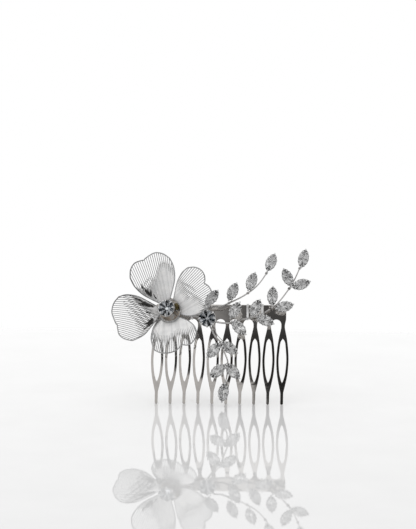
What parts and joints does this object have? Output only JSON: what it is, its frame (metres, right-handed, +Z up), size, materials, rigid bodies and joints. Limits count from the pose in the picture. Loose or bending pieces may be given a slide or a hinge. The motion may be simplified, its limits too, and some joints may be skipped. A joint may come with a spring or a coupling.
{
  "type": "decorative hair comb",
  "caption": "Metal hair comb with slotted leaf-shaped teeth, carrying a wirework flower and curving sprigs of claw-set clear stones bound to its bar.",
  "frame": {"origin": "on the surface that the tooth tips stand on, under the middle of the whole object's box", "axes": "+X along the comb to the right as seen from its decorated front, +Y to the back where the comb leans, +Z up from the tooth tips to the flower"},
  "size_m": [0.0776, 0.0228, 0.0595],
  "materials": {
    "comb_metal": "stamped and polished, dark silver plating",
    "petal_metal": "openwork of fine silver-plated wire",
    "setting_metal": "bright rhodium plating on claw cups",
    "wire_metal": "bright drawn wire, silver-plated",
    "aged_brass": "worn plating with the brass showing through",
    "crystal": "cut and polished clear crystal, foiled behind"
  },
  "bodies": {
    "root": {"comb_plate": "comb_metal", "flower_base": "aged_brass", "flower_setting": "setting_metal", "flower_stone": "crystal", "join_setting": "setting_metal", "join_stone": "crystal", "petal_bottom": "petal_metal", "petal_left": "petal_metal", "petal_right": "petal_metal", "petal_top": "petal_metal", "sprig_lower_leaf_1_setting": "setting_metal", "sprig_lower_leaf_1_stone": "crystal", "sprig_lower_leaf_2_setting": "setting_metal", "sprig_lower_leaf_2_stone": "crystal", "sprig_lower_leaf_3_setting": "setting_metal", "sprig_lower_leaf_3_stone": "crystal", "sprig_lower_leaf_4_setting": "setting_metal", "sprig_lower_leaf_4_stone": "crystal", "sprig_lower_leaf_5_setting": "setting_metal", "sprig_lower_leaf_5_stone": "crystal", "sprig_lower_stem": "wire_metal", "sprig_middle_leaf_1_setting": "setting_metal", "sprig_middle_leaf_1_stone": "crystal", "sprig_middle_leaf_2_setting": "setting_metal", "sprig_middle_leaf_2_stone": "crystal", "sprig_middle_leaf_3_setting": "setting_metal", "sprig_middle_leaf_3_stone": "crystal", "sprig_middle_leaf_4_setting": "setting_metal", "sprig_middle_leaf_4_stone": "crystal", "sprig_middle_leaf_5_setting": "setting_metal", "sprig_middle_leaf_5_stone": "crystal", "sprig_middle_leaf_6_setting": "setting_metal", "sprig_middle_leaf_6_stone": "crystal", "sprig_middle_leaf_7_setting": "setting_metal", "sprig_middle_leaf_7_stone": "crystal", "sprig_middle_leaf_8_setting": "setting_metal", "sprig_middle_leaf_8_stone": "crystal", "sprig_middle_leaf_9_setting": "setting_metal", "sprig_middle_leaf_9_stone": "crystal", "sprig_middle_stem": "wire_metal", "sprig_upper_leaf_1_setting": "setting_metal", "sprig_upper_leaf_1_stone": "crystal", "sprig_upper_leaf_2_setting": "setting_metal", "sprig_upper_leaf_2_stone": "crystal", "sprig_upper_leaf_3_setting": "setting_metal", "sprig_upper_leaf_3_stone": "crystal", "sprig_upper_leaf_4_setting": "setting_metal", "sprig_upper_leaf_4_stone": "crystal", "sprig_upper_stem": "wire_metal", "wrap_flower_left": "wire_metal", "wrap_flower_right": "wire_metal", "wrap_join_left": "wire_metal", "wrap_join_right": "wire_metal", "wrap_sprig_inner": "wire_metal", "wrap_sprig_outer": "wire_metal"}
  },
  "joints": []
}
